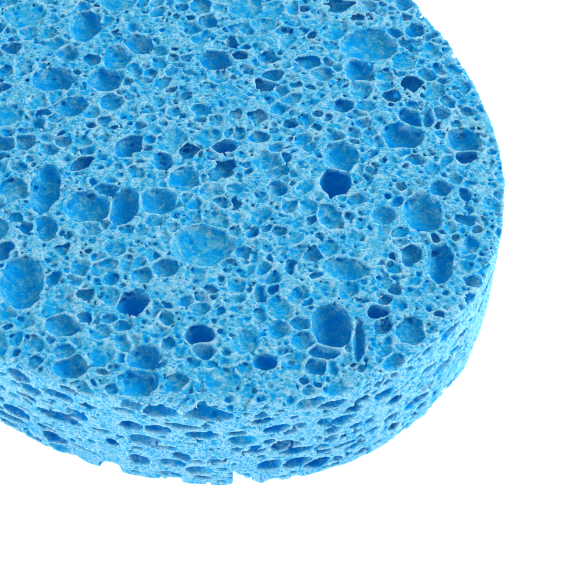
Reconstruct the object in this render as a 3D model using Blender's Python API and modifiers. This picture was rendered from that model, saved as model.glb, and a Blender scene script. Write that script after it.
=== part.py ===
"""An oval cellulose sponge: one cut slab of foam, flat above and below, with upright sides.

The frame has its origin at the centre of the underside, +X along the sponge and +Z up out of its
top face. The slab is the sponge's outer shape. Its pores belong to the finished surface.
"""

import math

import bpy

# Driving dimensions, in metres.
LENGTH = 0.150  # along X, end to end
WIDTH = 0.100  # along Y, side to side
THICKNESS = 0.020  # along Z, from underside to top face
ROUNDNESS = 2.11  # superellipse exponent of the outline: 2 is an ellipse, more is fuller
EDGE_RADIUS = 0.0008  # the soft edge that the cutting die leaves round both faces

# Fineness of the faceted solid.
OUTLINE_POINTS = 96
EDGE_SEGMENTS = 2
EDGE_ANGLE = math.radians(40)  # a corner sharper than this is a cut edge, and is rounded
WELD_DISTANCE = 0.00001

SPONGE_BLUE = (0.045, 0.342, 0.807, 1.0)  # linear colour of the dyed cellulose
SPONGE_ROUGHNESS = 0.9


def clear_scene():
    for obj in list(bpy.data.objects):
        bpy.data.objects.remove(obj, do_unlink=True)


def dyed_cellulose():
    material = bpy.data.materials.new("dyed_cellulose")
    material.use_nodes = True
    shader = material.node_tree.nodes["Principled BSDF"]
    shader.inputs["Base Color"].default_value = SPONGE_BLUE
    shader.inputs["Roughness"].default_value = SPONGE_ROUGHNESS
    shader.inputs["Metallic"].default_value = 0.0
    return material


def signed_power(value, exponent):
    return math.copysign(abs(value) ** exponent, value)


def outline_points():
    """The superellipse |x/a|^n + |y/b|^n = 1, anticlockwise from the +X end."""
    for i in range(OUTLINE_POINTS):
        turn = 2 * math.pi * i / OUTLINE_POINTS
        yield (
            LENGTH / 2 * signed_power(math.cos(turn), 2 / ROUNDNESS),
            WIDTH / 2 * signed_power(math.sin(turn), 2 / ROUNDNESS),
        )


def sponge_slab(material):
    """The outline as a flat curve, extruded half the thickness each way from mid-height."""
    curve = bpy.data.curves.new("sponge_outline", "CURVE")
    curve.dimensions = "2D"
    curve.fill_mode = "BOTH"
    curve.extrude = THICKNESS / 2
    spline = curve.splines.new("POLY")
    spline.points.add(OUTLINE_POINTS - 1)
    for point, (x, y) in zip(spline.points, outline_points()):
        point.co = (x, y, 0.0, 1.0)
    spline.use_cyclic_u = True
    curve.materials.append(material)

    slab = bpy.data.objects.new("sponge", curve)
    slab.location.z = THICKNESS / 2

    weld = slab.modifiers.new("join_faces_to_sides", "WELD")
    weld.merge_threshold = WELD_DISTANCE
    edge = slab.modifiers.new("cut_edge", "BEVEL")
    edge.width = EDGE_RADIUS
    edge.segments = EDGE_SEGMENTS
    edge.limit_method = "ANGLE"
    edge.angle_limit = EDGE_ANGLE
    return slab


def main():
    clear_scene()
    parts = bpy.data.collections.new("cellulose_sponge")
    bpy.context.scene.collection.children.link(parts)
    parts.objects.link(sponge_slab(dyed_cellulose()))


main()
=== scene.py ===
import math
import time

import bpy
import numpy as np
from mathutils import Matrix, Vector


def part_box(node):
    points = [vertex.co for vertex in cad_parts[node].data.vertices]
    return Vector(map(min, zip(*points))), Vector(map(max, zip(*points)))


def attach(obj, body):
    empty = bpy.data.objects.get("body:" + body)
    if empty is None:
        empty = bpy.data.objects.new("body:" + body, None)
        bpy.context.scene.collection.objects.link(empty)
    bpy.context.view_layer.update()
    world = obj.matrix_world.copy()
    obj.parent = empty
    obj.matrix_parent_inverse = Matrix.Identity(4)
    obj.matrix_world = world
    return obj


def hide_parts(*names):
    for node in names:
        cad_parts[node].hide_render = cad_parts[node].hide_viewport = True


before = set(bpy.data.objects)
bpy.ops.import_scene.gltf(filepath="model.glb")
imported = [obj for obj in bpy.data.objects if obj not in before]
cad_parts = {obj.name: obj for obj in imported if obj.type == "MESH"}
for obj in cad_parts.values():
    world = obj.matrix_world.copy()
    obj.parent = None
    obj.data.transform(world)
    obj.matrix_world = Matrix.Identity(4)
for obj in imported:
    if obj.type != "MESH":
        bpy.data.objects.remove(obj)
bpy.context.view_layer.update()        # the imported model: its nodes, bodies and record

import openvdb
from mathutils import Vector

started = time.time()

# Everything about the foam is worked out in millimetres and turned to metres when its mesh is made.
slabLow, slabHigh = (np.array(corner) * 1000 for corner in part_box("sponge"))
slabSize = slabHigh - slabLow
slabMiddle = (slabHigh + slabLow) / 2


def report(text):
    print(f"[{time.time() - started:6.1f} s] {text}")


def linearColour(hexText):
    # sRGB hex to the linear colour that shaders take
    channels = [int(hexText[i:i + 2], 16) / 255 for i in (1, 3, 5)]
    return tuple(c / 12.92 if c <= 0.04045 else ((c + 0.055) / 1.055) ** 2.4 for c in channels) + (1.0,)


def addNode(tree, kind, inputs=None, **settings):
    # one node, with its settings, its socket values and its links
    node = tree.nodes.new(kind)
    for name, value in settings.items():
        setattr(node, name, value)
    for key, value in (inputs or {}).items():
        socket = node.inputs[key]
        if isinstance(value, bpy.types.NodeSocket):
            tree.links.new(value, socket)
        else:
            socket.default_value = value
    return node


detail = {
    "fine": 0.27,           # spacing of the field at the open-grained end
    "coarse": 0.46,         # and far away from it
    "fineFrom": -22.0,      # x beyond which all is fine
    "coarseFrom": -60.0,
    "fineDepth": 4.5,       # below the top face
    "deep": 0.30,
    "cropAt": -200.0,
    "faces": 1_900_000,     # triangles that the finished sponge may have
}


def gradedAxis(start, end, spacingAt):
    points = [start]
    while points[-1] < end:
        points.append(points[-1] + spacingAt(points[-1]))
    return np.array(points, dtype=np.float32)


def fieldAxes():
    margin = 3 * detail["fine"]             # air round the slab

    def alongX(x):
        share = (detail["fineFrom"] - x) / (detail["fineFrom"] - detail["coarseFrom"])
        return detail["fine"] + (detail["coarse"] - detail["fine"]) * min(max(share, 0.0), 1.0)

    def alongY(y):
        return detail["fine"]

    def alongZ(z):
        share = (slabHigh[2] - detail["fineDepth"] - z) / 2.0
        return detail["fine"] + (detail["deep"] - detail["fine"]) * min(max(share, 0.0), 1.0)

    axes = [gradedAxis(low - margin, high + margin, rule)
            for low, high, rule in zip(slabLow, slabHigh, (alongX, alongY, alongZ))]
    axes[0] = axes[0][axes[0] > detail["cropAt"]]
    return axes


def stretchNoise(random, shape, step):
    # smooth noise from -1 to 1 that changes over `step` field points, along each axis
    small = [max(int(math.ceil(n / s)) + 2, 2) for n, s in zip(shape, step)]
    noise = random.uniform(-1, 1, small).astype(np.float32)
    for axis, (count, s) in enumerate(zip(shape, step)):
        place = np.arange(count) / s
        index = place.astype(int)
        share = (place - index).astype(np.float32)
        share = share * share * (3 - 2 * share)
        bend = [1] * len(shape)
        bend[axis] = count
        share = share.reshape(bend)
        noise = np.take(noise, index, axis) * (1 - share) + np.take(noise, index + 1, axis) * share
    return noise


def blurred(field, times=1):
    for _ in range(times):
        for axis in range(field.ndim):
            soft = field * 2
            ahead = [slice(None)] * field.ndim
            behind = [slice(None)] * field.ndim
            ahead[axis], behind[axis] = slice(1, None), slice(None, -1)
            soft[tuple(behind)] += field[tuple(ahead)]
            soft[tuple(ahead)] += field[tuple(behind)]
            soft *= 0.25
            field = soft
    return field


def sampled(field, spots):
    base = np.floor(spots).astype(int)
    share = spots - base
    value = np.zeros(len(spots), np.float32)
    for i in (0, 1):
        for j in (0, 1):
            for k in (0, 1):
                weight = (share[:, 0] if i else 1 - share[:, 0]) \
                    * (share[:, 1] if j else 1 - share[:, 1]) * (share[:, 2] if k else 1 - share[:, 2])
                value += weight * field[np.minimum(base[:, 0] + i, field.shape[0] - 1),
                                        np.minimum(base[:, 1] + j, field.shape[1] - 1),
                                        np.minimum(base[:, 2] + k, field.shape[2] - 1)]
    return value


slab = {
    "roundness": 2.11,      # exponent of the oval's outline
    "edgeRadius": 0.5,      # soft cut edge round both faces
    "wander": 0.22,         # how far the cut strays from a true face
    "faceInset": 0.12,      # how far inside the plain block the foam starts at its two faces
    "sideInset": -0.3,      # and at its side, where ragged walls stand a little proud
    "ragged": 0.9,          # how far the foot of the side is torn away
    "footHeight": 0.9,      # height over which that fades
    "nick": (67.7, -22.2, 2.2, 4.4, 5.2),   # x, y, half width, height and depth of a torn notch in the foot
    "grain": 0.06,          # roughness of every surface
    "seed": 41,
}


def sideDistance(x, y):
    # how far outside the oval outline a place is, negative inside
    halfX, halfY = slabSize[0] / 2 - slab["sideInset"], slabSize[1] / 2 - slab["sideInset"]
    n = slab["roundness"]
    u = np.abs((x - slabMiddle[0]) / halfX) + 1e-6
    v = np.abs((y - slabMiddle[1]) / halfY) + 1e-6
    ring = (u ** n + v ** n) ** (1 / n)
    return (ring - 1) / np.hypot((u / ring) ** (n - 1) / halfX, (v / ring) ** (n - 1) / halfY)


def outerShape(axes, random):
    # distance outside the slab, negative inside: an oval outline and two cut faces
    x, y, z = axes
    side = sideDistance(x[:, None], y[None, :])
    wander = slab["wander"] * stretchNoise(random, (len(x), len(y)), (18, 18))
    wander += 0.5 * slab["wander"] * stretchNoise(random, (len(x), len(y)), (6, 6))
    level = np.abs(z - slabMiddle[2]) - slabSize[2] / 2 + slab["faceInset"]
    side = (side + wander)[:, :, None]
    level = level[None, None, :] + 0.3 * np.abs(wander)[:, :, None]
    r = slab["edgeRadius"]
    foot = np.exp((slabLow[2] - z) / slab["footHeight"])[None, None, :]
    tears = np.maximum(stretchNoise(random, (len(x), len(y)), (7, 7)), 0) ** 2
    side = side + slab["ragged"] * tears[:, :, None] * foot
    corner = np.hypot(np.maximum(side + r, 0), np.maximum(level + r, 0)) - r
    shape = np.where((side > -r) & (level > -r), corner, np.maximum(side, level))
    nickX, nickY, half, tall, deep = slab["nick"]
    outward = math.atan2(nickY / slabSize[1] ** 2, nickX / slabSize[0] ** 2)
    along = (math.cos(outward) * (y - nickY)[None, :] - math.sin(outward) * (x - nickX)[:, None])[:, :, None]
    inward = -(math.cos(outward) * (x - nickX)[:, None] + math.sin(outward) * (y - nickY)[None, :])[:, :, None]
    rise = (z - slabLow[2])[None, None, :]
    notch = np.minimum(np.minimum(along + half, (half - along) - rise * 2 * half / tall),
                       deep - inward - 0.5 * rise)
    return np.maximum(shape, notch).astype(np.float32)


def carveCell(first, second, cellShade, axes, centre, radii, turn, shade):
    # stamps one egg-shaped cell: `first` keeps the nearest cell's distance, `second` the next one's
    margin = 1.2                            # mm round a cell where its distance still counts
    widest = max(radii[0], radii[1]) + margin
    reach = (widest, widest, radii[2] + margin)
    spans = [slice(np.searchsorted(axis, c - r), np.searchsorted(axis, c + r))
             for axis, c, r in zip(axes, centre, reach)]
    dx, dy, dz = (axis[span] - c for axis, span, c in zip(axes, spans, centre))
    if not (len(dx) and len(dy) and len(dz)):
        return
    c, s = math.cos(turn), math.sin(turn)
    along = (c * dx[:, None] + s * dy[None, :])[:, :, None]
    across = (c * dy[None, :] - s * dx[:, None])[:, :, None]
    dz = dz[None, None, :]
    near = np.sqrt((along / radii[0]) ** 2 + (across / radii[1]) ** 2 + (dz / radii[2]) ** 2)
    steep = np.sqrt((along / radii[0] ** 2) ** 2 + (across / radii[1] ** 2) ** 2 + (dz / radii[2] ** 2) ** 2)
    distance = near * (near - 1) / (steep + 1e-4)
    spans = tuple(spans)
    a, b = first[spans], second[spans]
    # each point keeps the painted shade of the cell nearest to it
    cellShade[spans][distance < a] = shade
    np.minimum(b, np.maximum(a, distance), out=b)
    np.minimum(a, distance, out=a)


mainCells = {
    # the biggest cells, where they stand on the top face: x, y, half length and half width in mm,
    # turn in degrees, depth in mm, and how dark inside from 0 to 1, which lowers its middle and is painted
    # shade inside it
    "top": [
        (25.5, 35.5, 4.8, 4.0, 51, 2.0, 0.3), (29, 30.5, 3.3, 2.4, 141, 2.2, 0.5),
        (44, 26, 3.4, 3.1, 51, 2.4, 0.4), (50.5, 32.5, 2.8, 2.6, 51, 2.0, 0.3),
        (45, 12, 3.0, 2.3, 141, 4.2, 0.9), (41.5, 16, 3.5, 2.6, 141, 1.8, 0.1),
        (66, 13.5, 3.9, 2.0, 141, 2.4, 0.5), (57.5, 18, 3.9, 3.0, 141, 2.2, 0.3),
        (31.5, 14.5, 1.4, 1.2, 51, 2.6, 1.0), (-7, 2.5, 4.0, 2.6, 141, 2.4, 0.4),
        (26.5, -19, 3.6, 3.3, 51, 2.2, 0.2), (29.5, -15, 3.7, 2.3, 141, 2.6, 0.6),
        (32, -10.5, 2.9, 2.6, 51, 2.0, 0.3), (42.5, -10.5, 4.6, 3.9, 51, 1.7, 0.0),
        (19.5, -22, 5.0, 2.4, 141, 2.4, 0.4), (0.5, -8.5, 3.6, 2.7, 51, 2.2, 0.4),
        (5.5, -2, 2.9, 2.9, 51, 2.2, 0.3), (7.5, -9.5, 2.8, 2.3, 51, 2.2, 0.5),
        (29, 3.5, 2.0, 1.5, 51, 3.0, 0.9), (32.5, -34, 4.8, 3.2, 141, 2.4, 0.3),
        (45, -24, 2.4, 2.1, 51, 3.2, 0.9), (55, -20, 2.1, 1.8, 51, 3.0, 0.9),
        (48.5, -36.5, 2.3, 1.9, 51, 2.0, 0.4), (53.5, -28, 2.5, 2.3, 51, 2.0, 0.3),
        (64, -16, 1.8, 1.4, 51, 2.0, 0.6), (65, -5.5, 4.0, 2.8, 141, 3.4, 0.5),
        (69, -4, 3.6, 0.9, 141, 1.6, 0.4), (67, 1, 1.6, 1.4, 51, 3.0, 0.9),
        (67.5, -9, 2.3, 1.5, 51, 1.8, 0.4),
    ],
    # and on the side: x, y, z, half length, half height, and how dark inside, painted shade
    "side": [
        (60.5, -30.5, 18, 2.5, 1.2, 0.8), (65, -26, 18.5, 3.1, 1.4, 0.9), (64.5, -27, 13.5, 2.2, 0.8, 0.9),
        (58.5, -32.5, 10.5, 2.4, 1.3, 0.5), (60, -31, 13.5, 1.6, 0.9, 0.5), (67, -23, 14, 1.5, 0.8, 0.6),
        (70, -19, 14, 2.2, 1.0, 0.8), (57.5, -33, 5, 1.5, 1.2, 0.9), (71, -16.5, 4.5, 2.6, 1.3, 0.5),
        (69, -20.5, 16.5, 1.6, 0.7, 0.5), (73, -12, 17, 2.2, 1.0, 0.8), (74, -8, 15.5, 1.2, 0.8, 0.6),
        (74.5, -2.5, 11, 1.7, 1.0, 0.7), (73.5, -11, 12.5, 2.2, 1.1, 0.8), (74.5, -2, 4, 1.2, 0.8, 0.7),
        (74, -8.5, 4.5, 2.0, 0.5, 0.9), (74, -7, 2, 1.5, 0.8, 0.5), (41.5, -42.5, 6.5, 2.4, 1.4, 0.6),
        (46.5, -40, 4, 2.1, 1.6, 0.7), (50.5, -38, 18.5, 1.6, 0.6, 0.7), (57, -33.5, 13.5, 1.6, 1.0, 0.6),
        (54.5, -35, 8, 1.2, 0.9, 0.6), (43.5, -41.5, 17, 2.0, 1.4, 0.6),
    ],
    "sideDepth": 1.7,
    "deeper": 1.15,         # stretches the depths of those on the top
}


def stampMainCells(first, second, cellShade, axes, random):
    top = slabHigh[2] - slab["faceInset"]
    for x, y, half, width, turn, deep, shade in mainCells["top"]:
        if x < axes[0][0]:
            continue
        deep = deep * mainCells["deeper"]
        tall = deep / (1.0 + 0.35 * shade)      # a dark cell has its middle lower, so its walls lean over it
        middle = top - deep + tall
        spread = 1 / max(1 - ((top - middle) / tall) ** 2, 0.3) ** 0.5
        carveCell(first, second, cellShade, axes, (x, y, middle), (half * spread, width * spread, tall),
                  math.radians(turn + random.uniform(-8, 8)), shade)
    for x, y, z, half, tall, shade in mainCells["side"]:
        outward = math.atan2(y / slabSize[1] ** 2, x / slabSize[0] ** 2)
        carveCell(first, second, cellShade, axes, (x, y, z), (half, mainCells["sideDepth"], tall),
                  outward + math.pi / 2, shade)


cells = {
    # half length of a cell in mm, from and to, and the share of the slab that is tried
    "classes": [(3.0, 4.4, 0.08), (2.0, 3.0, 0.45), (1.2, 2.0, 1.90), (0.75, 1.2, 1.60), (0.5, 0.75, 0.8)],
    "flatness": 0.54,       # height of a cell for its length near the faces
    "drawnOut": 0.42,       # and in the middle of the block, which rose under its own weight
    "narrowest": 0.55,      # shortest width of a cell for its length
    "wall": 0.27,           # thickness of the skin between two cells
    "wobble": 0.12,         # how uneven their walls are
    "bend": 0.32,           # how far their shape strays from an egg
    "crowding": 0.34,       # how far a new cell's middle keeps from its neighbours, in its own half widths
    "acrossRim": 0.2,       # share of the cells kept that would break the rim
    "smallOnSide": 0.2,     # share of the small cells kept on the side, where the foam is drawn out flat
    "reach": 4.0,           # cells deeper than this are never seen and are left out
    "hidden": 0.0,          # share of the cells kept that the cut doesn't open
    "opened": 0.72,         # how far under the cut a cell's middle may be and still open, in its own heights
    "smallOpened": 0.5,     # and a small one's
    "seed": 7,
}


def foamCells(first, second, cellShade, axes, outside, random):
    # fills the outer layer of the slab with cells, the big ones first, each kept off the ones before it
    for shortest, longest, share in cells["classes"]:
        typical = (shortest * longest) ** 0.5
        room = slabSize[0] * slabSize[1] * (slabSize[2] + 2 * typical * cells["flatness"])
        one = 4 / 3 * math.pi * typical ** 3 * cells["flatness"] * 0.77
        tries = int(share * room / one)
        margin = typical * 0.6
        place = random.uniform(slabLow - margin, slabHigh + margin, (tries, 3))
        half = shortest * (longest / shortest) ** random.uniform(0, 1, tries)
        width = random.uniform(cells["narrowest"], 1.0, tries)
        midway = np.clip((slabSize[2] / 2 - np.abs(place[:, 2] - slabMiddle[2])) / 1.5 - 0.3, 0, 1)
        height = cells["flatness"] + (cells["drawnOut"] - cells["flatness"]) * midway
        height = height * (0.5 + 1.1 * random.uniform(0, 1, tries) ** 2)
        # how much painted shade each cell gets inside
        shade = random.uniform(0, 1, tries)
        turn = random.uniform(0, math.pi, tries)
        index = [np.clip(np.searchsorted(axis, place[:, k]), 0, len(axis) - 1) for k, axis in enumerate(axes)]
        deep = outside[index[0], index[1], index[2]]
        tall = half * height * (0.5 + 0.5 * width)
        seen = deep > -(cells["opened"] if longest > 1.5 else cells["smallOpened"]) * tall
        seen |= (deep > -cells["reach"]) & (random.uniform(0, 1, tries) < cells["hidden"])
        inside = np.abs(place[:, 2] - slabMiddle[2]) < slabSize[2] / 2 - 0.8
        usable = seen & (deep < half * 0.45) & (place[:, 0] > axes[0][0])
        if longest < 2.5:
            usable &= ~inside | (random.uniform(0, 1, tries) < cells["smallOnSide"])
        atRim = np.abs(place[:, 2] - slabMiddle[2]) > slabSize[2] / 2 - 1.2
        atRim &= sideDistance(place[:, 0], place[:, 1]) > -1.2
        usable &= ~atRim | (random.uniform(0, 1, tries) < cells["acrossRim"])
        placed = 0
        for k in np.flatnonzero(usable):
            if first[index[0][k], index[1][k], index[2][k]] < half[k] * width[k] ** 0.5 * cells["crowding"]:
                continue
            carveCell(first, second, cellShade, axes, place[k], (half[k], half[k] * width[k], tall[k]), turn[k],
                      shade[k])
            placed += 1
        report(f"  cells of {2 * shortest:.1f} to {2 * longest:.1f} mm: {placed} of {usable.sum()} usable")


fineFoam = {
    "pitch": 0.74,          # spacing of the small cells between the big ones
    "radius": (0.36, 0.72),
    "share": 0.85,
    "onSide": 0.12,         # share of them kept on the side
    "wall": 0.26,           # skin between two of them
    "rim": 0.20,            # skin they leave round the big cells
    "bite": 0.75,           # how far under the cut their middles may be, in their own heights
    "pit": 0.55,            # and behind the wall of an open cell
    "bowlReach": 2.2,       # depth to which they pit those walls
    "seed": 19,
}

crumb = {
    "pitch": 0.46,          # the finest pores, in what is still solid
    "radius": (0.20, 0.32),
    "share": 0.6,
    "onSide": 0.1,
    "wall": 0.22,
    "rim": 0.16,
    "bite": 0.6,
    "pit": 0.5,
    "bowlReach": 1.2,
    "seed": 23,
}


def fineCells(axes, outside, first, settings, random):
    # small cells on a shaken lattice, stamped all at once: the distance to the nearest one and to the next.
    # Only the ones that the cut opens, or that break through the wall of an open cell, are kept.
    pitch = np.array([1, 1, cells["flatness"] + 0.1]) * settings["pitch"]
    low, high = slabLow - 0.5, slabHigh + 0.5
    counts = np.ceil((high - low) / pitch).astype(int)
    lattice = np.stack(np.meshgrid(*(np.arange(n) for n in counts), indexing="ij"), -1).reshape(-1, 3)
    place = low + (lattice + random.uniform(0, 1, lattice.shape)) * pitch
    place = place[(place[:, 0] > axes[0][9]) & (random.uniform(0, 1, len(place)) < settings["share"])]
    spots = np.stack([np.interp(place[:, k], axis, np.arange(len(axis))) for k, axis in enumerate(axes)], -1)
    rough = outside[tuple(spots.astype(int).T)]
    close = (rough > -settings["bowlReach"] - 0.5) & (rough < 0.8)
    place, spots = place[close], spots[close]
    away, apart = sampled(outside, spots), sampled(first, spots)
    smallest, largest = settings["radius"]
    long = smallest + (largest - smallest) * random.uniform(0, 1, len(place)) ** 1.5
    wide = long * random.uniform(0.6, 1.0, len(long))
    tall = np.sqrt(long * wide) * (cells["flatness"] + 0.1)
    turn = random.uniform(0, math.pi, len(place))
    opened = (away > -settings["bite"] * tall) & (away < 0.4 * tall) & (apart > 0)
    opened |= ((away < 0) & (away > -settings["bowlReach"]) &
               (apart > -0.3 * tall) & (apart < settings["pit"] * tall))
    onSide = np.abs(place[:, 2] - slabMiddle[2]) < slabSize[2] / 2 - 0.8
    opened &= ~onSide | (random.uniform(0, 1, len(place)) < settings["onSide"])
    place, turn, long, wide, tall, spots = (values[opened] for values in (place, turn, long, wide, tall, spots))
    place, turn, long, wide, tall = (values.astype(np.float32) for values in (place, turn, long, wide, tall))
    index = [np.clip(spots[:, k].astype(int), 8, len(axis) - 9) for k, axis in enumerate(axes)]
    reach = [int(math.ceil((largest + 0.1) / detail["fine"])), int(math.ceil((largest + 0.1) / detail["fine"])),
             int(math.ceil((largest * (cells["flatness"] + 0.1) + 0.1) / detail["fine"]))]
    cosine, sine = np.cos(turn), np.sin(turn)
    spots, distances = [], []
    for i in range(-reach[0], reach[0] + 2):
        dx = axes[0][index[0] + i] - place[:, 0]
        for j in range(-reach[1], reach[1] + 2):
            dy = axes[1][index[1] + j] - place[:, 1]
            flat = np.hypot((cosine * dx + sine * dy) / long, (cosine * dy - sine * dx) / wide)
            for k in range(-reach[2], reach[2] + 2):
                dz = axes[2][index[2] + k] - place[:, 2]
                near = np.hypot(flat, dz / tall)
                close = near < 1.5
                spot = (((index[0][close] + i) * len(axes[1]) + index[1][close] + j) * len(axes[2]) +
                        index[2][close] + k)
                spots.append(spot)
                distances.append((near[close] - 1) * tall[close] * 1.3)
    spots, distances = np.concatenate(spots), np.concatenate(distances)
    # sorted by place and then by distance, with both packed into one whole number
    packed = np.sort(spots.astype(np.int64) * 65536 + ((distances + 2) * 8192).astype(np.int64))
    spots, distances = packed >> 16, ((packed & 65535) / 8192 - 2).astype(np.float32)
    shape = tuple(len(axis) for axis in axes)
    first, second = np.full(shape, 3.0, np.float32), np.full(shape, 3.0, np.float32)
    begins = np.flatnonzero(np.diff(spots, prepend=-1))
    first.reshape(-1)[spots[begins]] = distances[begins]
    follows = begins[np.append(np.diff(begins), 2 if begins[-1] < len(spots) - 1 else 1) > 1]
    second.reshape(-1)[spots[follows]] = distances[follows + 1]
    report(f"  {len(place)} small cells, {len(spots)} marks")
    return first, second


def foamField(axes):
    random = np.random.default_rng(slab["seed"])
    outside = outerShape(axes, random)
    shape = outside.shape
    report(f"field of {shape[0]} x {shape[1]} x {shape[2]} points")
    random = np.random.default_rng(cells["seed"])
    first = np.full(shape, 9.0, np.float32)
    second = np.full(shape, 9.0, np.float32)
    cellShade = np.zeros(shape, np.float32)
    stampMainCells(first, second, cellShade, axes, random)
    foamCells(first, second, cellShade, axes, outside, random)
    report("cells stamped")
    skin = cells["wall"] * (1.0 + 0.6 * stretchNoise(random, shape, (7, 7, 5))) - (second - first)
    first += cells["wobble"] * stretchNoise(random, shape, (5, 5, 4))
    first += cells["bend"] * stretchNoise(random, shape, (11, 11, 8))
    pore = np.maximum(first, skin)
    del second, skin
    edge = pore.copy()
    for settings in (fineFoam, crumb):
        random = np.random.default_rng(settings["seed"])
        near, farther = fineCells(axes, outside, first, settings, random)
        small = np.maximum(near, settings["wall"] - (farther - near))
        np.maximum(small, np.where(outside > -0.35, settings["rim"] - np.abs(first), -1), out=small)
        np.minimum(pore, small, out=pore)
        np.minimum(edge, small, out=edge)
        del near, farther, small
    random = np.random.default_rng(slab["seed"] + 1)
    grain = blurred(random.standard_normal(shape, dtype=np.float32), 1) * 3.0
    pore += slab["grain"] * grain
    solid = np.maximum(outside, -pore)
    report("field ready")
    patch = stretchNoise(random, shape, (24, 24, 14))
    return solid, {"outside": outside, "grain": grain, "edge": edge, "cellShade": cellShade, "patch": patch}


toneAndShade = {
    # how pale each part of the surface is, from 0 to 1, painted light and shade among its parts
    "wall": 0.51,           # inside a cell
    "cut": 0.02,            # more where the blade went through
    "side": 0.11,           # more on the side, where thin walls are seen edge on
    "rim": 0.16,            # and more on the thin lips of cells
    "mottle": 0.13,         # how much it varies from fibre to fibre
    "edges": 0.8,           # paler where it stands out into the air: partly the own paleness of thin skins, partly painted light
    "hollowShade": 1.5,         # and darker where it is closed in: painted shade
    "pinhole": 0.45,        # painted shade: darker specks at the open ends of the thinnest pores
    "cutDepth": 0.22,       # mm below the cut where its look ends
    "rimWidth": 0.11,
    "rimDepth": 0.4,
    "darkAt": 2.6,          # mm down where the painted shade in a cell is as dark as it gets
    "seed": 3,
}


def fieldMesh(name, axes, solid, facts):
    # meshes the surface where the field is zero, and keeps what each point needs for its colour
    grid = openvdb.FloatGrid(1.0)
    grid.copyFromArray(np.clip(solid, -1.0, 1.0))
    spots, triangles, quads = grid.convertToPolygons(isovalue=0.0, adaptivity=0.0)
    report(f"surface of {len(spots)} points, {len(quads)} quads, {len(triangles)} triangles")
    place = np.stack([np.interp(spots[:, k], np.arange(len(axis)), axis) for k, axis in enumerate(axes)], -1)

    # how pale it is: cut edges and thin skins are pale, and the solid between cells is mottled; painted shade
    # darkens closed-in places, the deep insides of cells and the ends of the finest pores, and painted light
    # brightens what stands out
    filled = blurred(np.clip(0.5 - solid / 0.4, 0, 1), 2)
    bare = 1 - sampled(filled, spots)       # share of air round the place
    depth = np.maximum(-sampled(facts["outside"], spots), 0)
    edge = sampled(facts["edge"], spots)
    onCut = np.clip(1 - depth / toneAndShade["cutDepth"], 0, 1)
    band = np.exp(-np.abs(edge) / toneAndShade["rimWidth"]) * np.clip(1 - depth / toneAndShade["rimDepth"], 0, 1)
    rough = sampled(facts["grain"], spots)
    speckle = np.random.default_rng(toneAndShade["seed"]).standard_normal(len(spots), dtype=np.float32)
    patch = np.clip(sampled(facts["patch"], spots) * 2.5, 0, 1)
    pinhole = (speckle < -1.3) * patch * onCut
    onSide = np.clip((slabSize[2] / 2 - np.abs(place[:, 2] - slabMiddle[2])) / 1.0 - 0.3, 0, 1)
    pale = toneAndShade["wall"] + (toneAndShade["cut"] + toneAndShade["side"] * onSide) * onCut + toneAndShade["rim"] * band
    # painted light where it stands out into the air, painted shade where it is closed in
    pale += toneAndShade["edges"] * np.maximum(bare - 0.5, 0) + toneAndShade["hollowShade"] * np.minimum(bare - 0.5, 0)
    pale += toneAndShade["mottle"] * (0.75 * speckle - 0.6 * rough) - toneAndShade["pinhole"] * pinhole
    # painted shade: darker the deeper below the cut, by each cell's share of it
    sunkShade = np.clip(depth / toneAndShade["darkAt"], 0, 1) * (0.5 + 0.5 * sampled(facts["cellShade"], spots) ** 2)

    mesh = bpy.data.meshes.new(name)
    mesh.vertices.add(len(place))
    mesh.vertices.foreach_set("co", (place / 1000).astype(np.float32).ravel())
    corners = np.concatenate([quads[:, ::-1].ravel(), triangles[:, ::-1].ravel()]).astype(np.int32)
    starts = np.concatenate([np.arange(len(quads)) * 4, len(quads) * 4 + np.arange(len(triangles)) * 3])
    mesh.loops.add(len(corners))
    mesh.loops.foreach_set("vertex_index", corners)
    mesh.polygons.add(len(starts))
    mesh.polygons.foreach_set("loop_start", starts.astype(np.int32))
    mesh.update(calc_edges=True)
    for label, values in (("pale", pale), ("sunkShade", sunkShade), ("cut", onCut)):
        mesh.attributes.new(label, "FLOAT", "POINT").data.foreach_set(
            "value", np.clip(values, 0, 1).astype(np.float32))
    report("mesh made")
    return mesh


def keepOnePiece():
    # a tree that keeps the largest island and drops sealed bubbles and loose crumbs
    tree = bpy.data.node_groups.new("keepOnePiece", "GeometryNodeTree")
    tree.interface.new_socket("Foam", in_out="INPUT", socket_type="NodeSocketGeometry")
    tree.interface.new_socket("Finish", in_out="INPUT", socket_type="NodeSocketMaterial")
    tree.interface.new_socket("Foam", in_out="OUTPUT", socket_type="NodeSocketGeometry")
    start = addNode(tree, "NodeGroupInput")
    island = addNode(tree, "GeometryNodeInputMeshIsland")
    size = addNode(tree, "GeometryNodeAccumulateField",
                   {"Value": 1.0, "Group ID": island.outputs["Island Index"]},
                   data_type="FLOAT", domain="POINT")
    largest = addNode(tree, "GeometryNodeAttributeStatistic",
                      {"Geometry": start.outputs["Foam"], "Attribute": size.outputs["Total"]}, domain="POINT")
    small = addNode(tree, "FunctionNodeCompare", {"A": size.outputs["Total"], "B": largest.outputs["Max"]},
                    data_type="FLOAT", operation="LESS_THAN")
    kept = addNode(tree, "GeometryNodeDeleteGeometry",
                   {"Geometry": start.outputs["Foam"], "Selection": small.outputs["Result"]}, domain="POINT")
    real = addNode(tree, "GeometryNodeRealizeInstances", {"Geometry": kept.outputs["Geometry"]})
    dyed = addNode(tree, "GeometryNodeSetMaterial",
                   {"Geometry": real.outputs["Geometry"], "Material": start.outputs["Finish"]})
    addNode(tree, "NodeGroupOutput", {"Foam": dyed.outputs["Geometry"]})
    return tree


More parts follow.
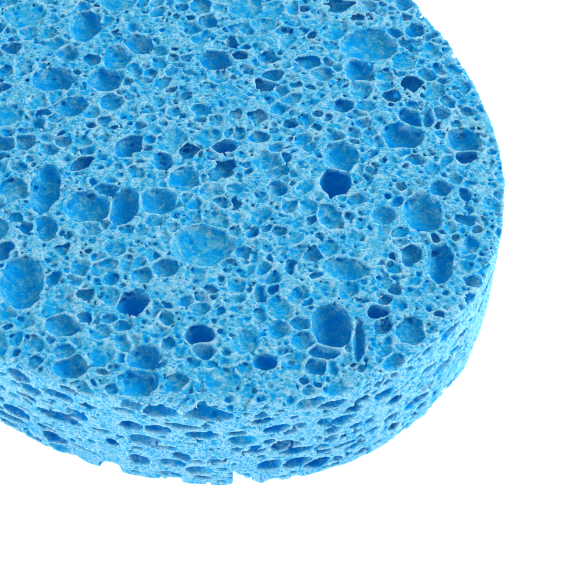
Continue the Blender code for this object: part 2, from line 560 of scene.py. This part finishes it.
def bakedPiece(name, source, tree, values):
    # runs a tree on a mesh and keeps the plain result
    working = bpy.data.objects.new(name + "Working", source)
    bpy.context.scene.collection.objects.link(working)
    modifier = working.modifiers.new("shape", "NODES")
    modifier.node_group = tree
    for item in tree.interface.items_tree:
        if item.item_type == "SOCKET" and item.in_out == "INPUT" and item.name in values:
            modifier[item.identifier] = values[item.name]
    shown = working.evaluated_get(bpy.context.evaluated_depsgraph_get())
    mesh = bpy.data.meshes.new_from_object(shown)
    bpy.data.objects.remove(working)
    mesh.name = name
    piece = bpy.data.objects.new(name, mesh)
    bpy.context.scene.collection.objects.link(piece)
    return piece


def thinned(piece, most):
    # merges the flattest neighbours until there are at most this many triangles
    triangles = len(piece.data.loops) - 2 * len(piece.data.polygons)
    if triangles <= most:
        return piece
    modifier = piece.modifiers.new("thin", "DECIMATE")
    modifier.ratio = most / triangles
    modifier.use_collapse_triangulate = True
    shown = piece.evaluated_get(bpy.context.evaluated_depsgraph_get())
    mesh = bpy.data.meshes.new_from_object(shown)
    name, old = piece.name, piece.data
    bpy.data.objects.remove(piece)
    bpy.data.meshes.remove(old)
    mesh.name = name
    piece = bpy.data.objects.new(name, mesh)
    bpy.context.scene.collection.objects.link(piece)
    report(f"thinned from {triangles} to {len(mesh.polygons)} triangles")
    return piece


def bakeCoordinates(mesh):
    # a map to bake colour through: the painted shade of depth across, pale up
    count = len(mesh.vertices)
    sunkShade, pale = np.empty(count, np.float32), np.empty(count, np.float32)
    mesh.attributes["sunkShade"].data.foreach_get("value", sunkShade)
    mesh.attributes["pale"].data.foreach_get("value", pale)
    corner = np.empty(len(mesh.loops), np.int32)
    mesh.loops.foreach_get("vertex_index", corner)
    chart = np.stack([np.clip(sunkShade, 0.01, 0.99), np.clip(pale, 0.01, 0.99)], -1)[corner]
    mesh.uv_layers.new(name="OFBake").data.foreach_set("uv", chart.ravel())


weave = {
    # Real threads are 0.02 to 0.05 mm thick and 0.1 to 0.3 mm apart, too fine to show, so they are
    # drawn two to three times as coarse.
    "thread": 0.62,         # mm between the threads of the fine web that cellulose dries into
    "thin": 0.33,           # and between its thinnest ones
    "line": 0.12,           # half width of a thread, as a share of that spacing
    "strength": 0.42,       # how much paler a thread is
    "gaps": 1.6,            # mm over which threads fade in and out
    "pores": 0.22,          # share of the thinnest meshes painted dark as open pores, painted shade
    "poreDark": 0.55,       # how much darker that painted shade makes them
    "fibre": 0.22,          # mm, size of the finest mottling
    "mottle": 0.26,         # and its strength
    "wrinkle": 0.75,        # mm, size of the wrinkles on the walls inside the cells
    "wrinkled": 1.9,        # and their strength
    "deeper": 0.33,         # painted shade: how much darker the bottom of a dark cell is
    "fades": 0.85,          # how much weaker threads and wrinkles are down there, in that painted shade
    "onWalls": 0.5,         # strength of threads on the walls of a cell, against the cut
    "wrinkledCut": 0.75,    # how much weaker wrinkles are on the cut
}


def dyedCellulose():
    # regenerated cellulose foam, dyed blue in the paste, cut dry: matt, pale where it is thin,
    # crossed by a fine web, and darker with painted shade down in its cells, in hollows and in its finest pores
    material = bpy.data.materials.new("dyedCellulose")
    material.use_nodes = True
    tree = material.node_tree
    tree.nodes.clear()
    pale = addNode(tree, "ShaderNodeAttribute", attribute_name="pale")
    sunkShade = addNode(tree, "ShaderNodeAttribute", attribute_name="sunkShade")
    # painted shade: darker the further down in a cell
    share = addNode(tree, "ShaderNodeMath",
                    {0: sunkShade.outputs["Fac"], 1: -weave["deeper"], 2: pale.outputs["Fac"]},
                    operation="MULTIPLY_ADD")
    place = addNode(tree, "ShaderNodeTexCoord").outputs["Object"]
    bend = addNode(tree, "ShaderNodeTexNoise", {"Vector": place, "Scale": 700.0, "Detail": 2.0})
    shift = addNode(tree, "ShaderNodeVectorMath",
                    {0: bend.outputs["Color"], 1: (0.0009, 0.0009, 0.0009), 2: place},
                    operation="MULTIPLY_ADD")
    gaps = addNode(tree, "ShaderNodeTexNoise", {"Vector": place, "Scale": 1000 / weave["gaps"], "Detail": 2.0})
    force = addNode(tree, "ShaderNodeMapRange",
                    {"Value": gaps.outputs["Fac"], "From Min": 0.38, "From Max": 0.62,
                     "To Min": weave["strength"] * 0.5, "To Max": weave["strength"] * 1.5})
    onCut = addNode(tree, "ShaderNodeAttribute", attribute_name="cut")
    # how far out of that painted shade, which weakens threads and wrinkles
    lit = addNode(tree, "ShaderNodeMath",
                  {0: sunkShade.outputs["Fac"], 1: -weave["fades"], 2: 1.0}, operation="MULTIPLY_ADD")
    spread = addNode(tree, "ShaderNodeMath",
                     {0: onCut.outputs["Fac"], 1: 1 - weave["onWalls"], 2: weave["onWalls"]},
                     operation="MULTIPLY_ADD")
    force = addNode(tree, "ShaderNodeMath", {0: force.outputs["Result"], 1: spread.outputs["Value"]},
                    operation="MULTIPLY")
    force = addNode(tree, "ShaderNodeMath", {0: force.outputs["Value"], 1: lit.outputs["Value"]},
                    operation="MULTIPLY")
    total = share.outputs["Value"]
    for spacing, part in ((weave["thread"], 0.55), (weave["thin"], 0.45)):
        web = addNode(tree, "ShaderNodeTexVoronoi",
                      {"Vector": shift.outputs["Vector"], "Scale": 1000 / spacing},
                      feature="DISTANCE_TO_EDGE")
        line = addNode(tree, "ShaderNodeMapRange", {"Value": web.outputs["Distance"], "From Min": 0.0,
                                                    "From Max": weave["line"] * 2, "To Min": 1.0,
                                                    "To Max": -0.4},
                       interpolation_type="SMOOTHSTEP")
        drawn = addNode(tree, "ShaderNodeMath", {0: line.outputs["Result"], 1: part}, operation="MULTIPLY")
        total = addNode(tree, "ShaderNodeMath",
                        {0: drawn.outputs["Value"], 1: force.outputs["Value"], 2: total},
                        operation="MULTIPLY_ADD").outputs["Value"]
    # painted shade: some meshes of the thinnest web are darkened on the cut, as open pores
    holes = addNode(tree, "ShaderNodeTexVoronoi",
                    {"Vector": shift.outputs["Vector"], "Scale": 1000 / weave["thin"]},
                    feature="F1")
    chance = addNode(tree, "ShaderNodeSeparateColor", {"Color": holes.outputs["Color"]})
    patch = addNode(tree, "ShaderNodeTexNoise", {"Vector": place, "Scale": 180.0, "Detail": 1.0})
    limit = addNode(tree, "ShaderNodeMapRange",
                    {"Value": patch.outputs["Fac"], "From Min": 0.35, "From Max": 0.65,
                     "To Min": 0.0, "To Max": weave["pores"] * 2})
    broken = addNode(tree, "ShaderNodeMath", {0: chance.outputs["Red"], 1: limit.outputs["Result"]},
                     operation="LESS_THAN")
    core = addNode(tree, "ShaderNodeMapRange", {"Value": web.outputs["Distance"], "From Min": 0.06,
                                                "From Max": 0.2, "To Min": 0.0, "To Max": -weave["poreDark"]})
    hole = addNode(tree, "ShaderNodeMath", {0: broken.outputs["Value"], 1: core.outputs["Result"]},
                   operation="MULTIPLY")
    total = addNode(tree, "ShaderNodeMath", {0: hole.outputs["Value"], 1: onCut.outputs["Fac"], 2: total},
                    operation="MULTIPLY_ADD").outputs["Value"]
    fibre = addNode(tree, "ShaderNodeTexNoise",
                    {"Vector": place, "Scale": 1000 / weave["fibre"] / 2, "Detail": 1.0})
    fine = addNode(tree, "ShaderNodeMath",
                   {0: fibre.outputs["Fac"], 1: weave["mottle"] * 2, 2: -weave["mottle"]},
                   operation="MULTIPLY_ADD")
    total = addNode(tree, "ShaderNodeMath",
                    {0: total, 1: fine.outputs["Value"]}, operation="ADD").outputs["Value"]
    folds = addNode(tree, "ShaderNodeTexNoise",
                    {"Vector": shift.outputs["Vector"], "Scale": 1000 / weave["wrinkle"] / 2,
                     "Detail": 2.0, "Distortion": 0.6})
    fold = addNode(tree, "ShaderNodeMath",
                   {0: folds.outputs["Fac"], 1: weave["wrinkled"], 2: -weave["wrinkled"] / 2},
                   operation="MULTIPLY_ADD")
    within = addNode(tree, "ShaderNodeMath",
                     {0: onCut.outputs["Fac"], 1: -weave["wrinkledCut"], 2: lit.outputs["Value"]},
                     operation="MULTIPLY_ADD", use_clamp=True)
    total = addNode(tree, "ShaderNodeMath", {0: fold.outputs["Value"], 1: within.outputs["Value"], 2: total},
                    operation="MULTIPLY_ADD", use_clamp=True)
    colour = addNode(tree, "ShaderNodeValToRGB", {"Fac": total.outputs["Value"]})
    stops = colour.color_ramp.elements
    stops[0].position, stops[0].color = 0.0, linearColour("#008ee2")
    stops[1].position, stops[1].color = 1.0, linearColour("#94cbe6")
    for position, shade in ((0.25, "#069adc"), (0.45, "#2aa3d7"), (0.6, "#4fafd6"), (0.8, "#70bbdc")):
        stops.new(position).color = linearColour(shade)
    surface = addNode(tree, "ShaderNodeBsdfPrincipled", {"Base Color": colour.outputs["Color"],
                                                         "Roughness": 1.0, "Specular IOR Level": 0.05,
                                                         "Subsurface Weight": 0.35, "Subsurface Scale": 0.0014,
                                                         "Subsurface Radius": (0.6, 0.9, 1.0)})
    addNode(tree, "ShaderNodeOutputMaterial", {"Surface": surface.outputs["BSDF"]})
    return material


def paperWhite():
    # matt white sweep under the sponge
    material = bpy.data.materials.new("paperWhite")
    material.use_nodes = True
    shader = material.node_tree.nodes["Principled BSDF"]
    shader.inputs["Base Color"].default_value = linearColour("#f4f4f4")
    shader.inputs["Roughness"].default_value = 1.0
    shader.inputs["Emission Color"].default_value = linearColour("#ffffff")
    shader.inputs["Emission Strength"].default_value = 0.75
    return material


studio = {
    "aim": (0.0557, -0.0061, 0.020),        # metres, as is the distance
    "azimuth": 51.3,        # degrees round from the long side
    "elevation": 51.5,
    "distance": 0.181,
    "lens": 83.2,
    "sky": 0.572,           # strength of the white all round
    "key": 5.22,            # watts of the softbox behind
    "fill": 1.5,            # and of the one in front of the side
}


def pointAt(obj, target):
    direction = obj.location - Vector(target)
    obj.rotation_euler = direction.to_track_quat("Z", "Y").to_euler()


def addCamera():
    azimuth, elevation = math.radians(studio["azimuth"]), math.radians(studio["elevation"])
    back = Vector((math.sin(azimuth) * math.cos(elevation), -math.cos(azimuth) * math.cos(elevation),
                   math.sin(elevation)))
    camera = bpy.data.objects.new("camera", bpy.data.cameras.new("camera"))
    camera.location = Vector(studio["aim"]) + back * studio["distance"]
    pointAt(camera, studio["aim"])
    camera.data.lens = studio["lens"]
    camera.data.sensor_width = 36
    camera.data.clip_start = 0.005
    camera.data.clip_end = 20
    bpy.context.scene.collection.objects.link(camera)
    bpy.context.scene.camera = camera


def addSoftbox(name, location, size, power):
    light = bpy.data.objects.new(name, bpy.data.lights.new(name, "AREA"))
    light.data.shape = "RECTANGLE"
    light.data.size, light.data.size_y = size
    light.data.energy = power
    light.location = location
    pointAt(light, (0.03, 0, 0.01))
    bpy.context.scene.collection.objects.link(light)


def addStudio():
    world = bpy.data.worlds.new("studio")
    world.use_nodes = True
    backdrop = world.node_tree.nodes["Background"]
    backdrop.inputs["Color"].default_value = linearColour("#ffffff")
    backdrop.inputs["Strength"].default_value = studio["sky"]
    bpy.context.scene.world = world
    floorMesh = bpy.data.meshes.new("floor")
    floorMesh.from_pydata([(-4, -4, 0), (4, -4, 0), (4, 4, 0), (-4, 4, 0)], [], [(0, 1, 2, 3)])
    floor = bpy.data.objects.new("floor", floorMesh)
    floor.location.z = -0.0002
    floorMesh.materials.append(paperWhite())
    bpy.context.scene.collection.objects.link(floor)
    addSoftbox("keySoftbox", (0.27, 0.57, 0.48), (0.45, 0.45), studio["key"])
    addSoftbox("sideSoftbox", (0.0, -0.6, 0.1), (0.4, 0.4), studio["fill"])
    bpy.context.scene.view_settings.view_transform = "Standard"
    bpy.context.scene.view_settings.look = "None"
    bpy.context.scene.cycles.diffuse_bounces = 8
    bpy.context.scene.cycles.filter_width = 1.1


addCamera()
axes = fieldAxes()
solid, facts = foamField(axes)
foam = fieldMesh("foamField", axes, solid, facts)
del solid, facts
sponge = bakedPiece("ovalSponge", foam, keepOnePiece(), {"Finish": dyedCellulose()})
bpy.data.meshes.remove(foam)
sponge = thinned(sponge, detail["faces"])
bakeCoordinates(sponge.data)
sponge.data.shade_smooth()
report(f"sponge of {len(sponge.data.vertices)} points and {len(sponge.data.polygons)} faces")
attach(sponge, "root")
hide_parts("sponge")
addStudio()
report("studio ready")
